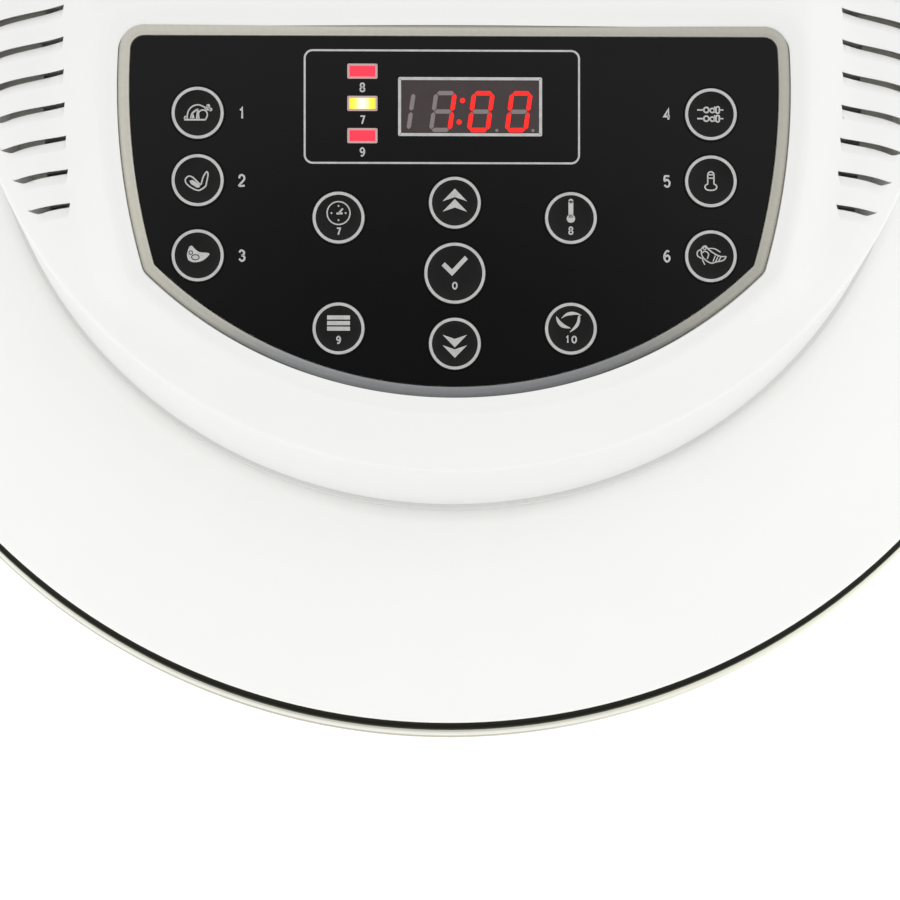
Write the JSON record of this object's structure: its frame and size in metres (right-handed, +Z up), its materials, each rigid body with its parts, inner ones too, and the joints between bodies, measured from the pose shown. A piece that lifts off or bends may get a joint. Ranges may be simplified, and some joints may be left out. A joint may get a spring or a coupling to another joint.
{
  "type": "halogen oven",
  "caption": "Countertop halogen oven with a clear glass bowl, a hinged lid with a round heater and fan head, a folding carrying handle and a sloping push-button control panel.",
  "frame": {"origin": "centre of the oven's footprint, on the table under its feet", "axes": "+Z up; -Y towards the user, where the control panel is; +X to the user's right; the lid's hinge is at +Y"},
  "size_m": [0.354, 0.3726, 0.296],
  "materials": {
    "white_plastic": "glossy white",
    "white_glass": "glass with a white coat inside",
    "clear_glass": "clear",
    "steel": "satin",
    "chrome_wire": "bright",
    "silver_bezel": "silver satin",
    "black_panel": "glossy black",
    "dark_plastic": "matte",
    "light_plastic": "matte",
    "rubber": "matte",
    "gasket": "silicone",
    "reflector_steel": "bright",
    "felt": "ceramic felt",
    "ceramic": "ceramic",
    "quartz": "quartz with white ends",
    "board": "green laminate",
    "components": "matte",
    "core_steel": "laminated",
    "copper": "enamelled wire",
    "display_filter": "smoked red",
    "lens_red": "lit",
    "fan_steel": "satin"
  },
  "bodies": {
    "base": {"base_shell": "white_plastic", "bottom_cover": "light_plastic", "rubber_feet": "rubber", "base_screws": "steel", "side_handles": "white_plastic", "bowl_pads": "rubber", "glass_bowl": "clear_glass", "wire_rack": "chrome_wire", "hinge_post": "white_plastic", "cord_gland": "dark_plastic", "hinge_pin": "steel"},
    "lid": {"lid_glass": "white_glass", "head_gasket": "gasket", "head_base": "light_plastic", "head_shell": "white_plastic", "hinge_arm": "white_plastic", "arm_screws": "steel", "reflector": "reflector_steel", "insulation_disc": "felt", "lid_screws": "steel", "halogen_tube": "quartz", "lamp_clips": "steel", "lamp_holders": "ceramic", "fan_guard": "steel", "guard_screws": "steel", "temperature_probe": "steel", "bearing_brackets": "steel", "motor_stator": "core_steel", "motor_coil": "copper", "power_board": "board", "power_components": "components", "panel_bezel": "silver_bezel", "control_panel": "black_panel", "display_window": "display_filter", "display_module": "dark_plastic", "indicator_lenses": "lens_red", "control_board": "board", "tactile_switches": "dark_plastic", "board_screws": "steel", "safety_switch": "dark_plastic", "handle_pins": "steel"},
    "rotor": {"rotor_shaft": "steel", "cooling_fan": "light_plastic", "convection_fan": "fan_steel", "fan_nut": "steel"},
    "handle": {"carry_handle": "white_plastic"},
    "plunger": {"switch_plunger": "white_plastic"},
    "preset_button_1": {"preset_button_1": "black_panel"},
    "preset_button_2": {"preset_button_2": "black_panel"},
    "preset_button_3": {"preset_button_3": "black_panel"},
    "preset_button_4": {"preset_button_4": "black_panel"},
    "preset_button_5": {"preset_button_5": "black_panel"},
    "preset_button_6": {"preset_button_6": "black_panel"},
    "time_button": {"time_button": "black_panel"},
    "temperature_button": {"temperature_button": "black_panel"},
    "delay_button": {"delay_button": "black_panel"},
    "reheat_button": {"reheat_button": "black_panel"},
    "up_button": {"up_button": "black_panel"},
    "down_button": {"down_button": "black_panel"},
    "confirm_button": {"confirm_button": "black_panel"}
  },
  "joints": [
    {"name": "lid_hinge", "type": "hinge", "parent": "base", "child": "lid", "pos_m": [0, 0.16825, 0.214], "axis": [-1, 0, 0], "range_deg": [0, 95]},
    {"name": "handle_pivot", "type": "hinge", "parent": "lid", "child": "handle", "pos_m": [0, 0.00425, 0.2895], "axis": [1, 0, 0], "range_deg": [0, 95]},
    {"name": "plunger_slide", "type": "slide", "parent": "lid", "child": "plunger", "axis": [0, 0, 1], "range_m": [0, 0.002]},
    {"name": "fan_spin", "type": "hinge", "parent": "lid", "child": "rotor", "pos_m": [0, -0.01975, 0.215], "axis": [0, 0, 1], "continuous": true},
    {"name": "preset_button_1_press", "type": "slide", "parent": "lid", "child": "preset_button_1", "axis": [0, 0.1908, -0.9816], "range_m": [0, 0.0005], "stiffness_N_per_m": 400, "springref_m": -0.0005},
    {"name": "preset_button_2_press", "type": "slide", "parent": "lid", "child": "preset_button_2", "axis": [0, 0.1908, -0.9816], "range_m": [0, 0.0005], "stiffness_N_per_m": 400, "springref_m": -0.0005},
    {"name": "preset_button_3_press", "type": "slide", "parent": "lid", "child": "preset_button_3", "axis": [0, 0.1908, -0.9816], "range_m": [0, 0.0005], "stiffness_N_per_m": 400, "springref_m": -0.0005},
    {"name": "preset_button_4_press", "type": "slide", "parent": "lid", "child": "preset_button_4", "axis": [0, 0.1908, -0.9816], "range_m": [0, 0.0005], "stiffness_N_per_m": 400, "springref_m": -0.0005},
    {"name": "preset_button_5_press", "type": "slide", "parent": "lid", "child": "preset_button_5", "axis": [0, 0.1908, -0.9816], "range_m": [0, 0.0005], "stiffness_N_per_m": 400, "springref_m": -0.0005},
    {"name": "preset_button_6_press", "type": "slide", "parent": "lid", "child": "preset_button_6", "axis": [0, 0.1908, -0.9816], "range_m": [0, 0.0005], "stiffness_N_per_m": 400, "springref_m": -0.0005},
    {"name": "time_button_press", "type": "slide", "parent": "lid", "child": "time_button", "axis": [0, 0.1908, -0.9816], "range_m": [0, 0.0005], "stiffness_N_per_m": 400, "springref_m": -0.0005},
    {"name": "temperature_button_press", "type": "slide", "parent": "lid", "child": "temperature_button", "axis": [0, 0.1908, -0.9816], "range_m": [0, 0.0005], "stiffness_N_per_m": 400, "springref_m": -0.0005},
    {"name": "delay_button_press", "type": "slide", "parent": "lid", "child": "delay_button", "axis": [0, 0.1908, -0.9816], "range_m": [0, 0.0005], "stiffness_N_per_m": 400, "springref_m": -0.0005},
    {"name": "reheat_button_press", "type": "slide", "parent": "lid", "child": "reheat_button", "axis": [0, 0.1908, -0.9816], "range_m": [0, 0.0005], "stiffness_N_per_m": 400, "springref_m": -0.0005},
    {"name": "up_button_press", "type": "slide", "parent": "lid", "child": "up_button", "axis": [0, 0.1908, -0.9816], "range_m": [0, 0.0005], "stiffness_N_per_m": 400, "springref_m": -0.0005},
    {"name": "down_button_press", "type": "slide", "parent": "lid", "child": "down_button", "axis": [0, 0.1908, -0.9816], "range_m": [0, 0.0005], "stiffness_N_per_m": 400, "springref_m": -0.0005},
    {"name": "confirm_button_press", "type": "slide", "parent": "lid", "child": "confirm_button", "axis": [0, 0.1908, -0.9816], "range_m": [0, 0.0005], "stiffness_N_per_m": 400, "springref_m": -0.0005}
  ],
  "couplings": [
    {"joint": "plunger_slide", "follows": "handle_pivot", "m_per_rad": 0.0012}
  ]
}
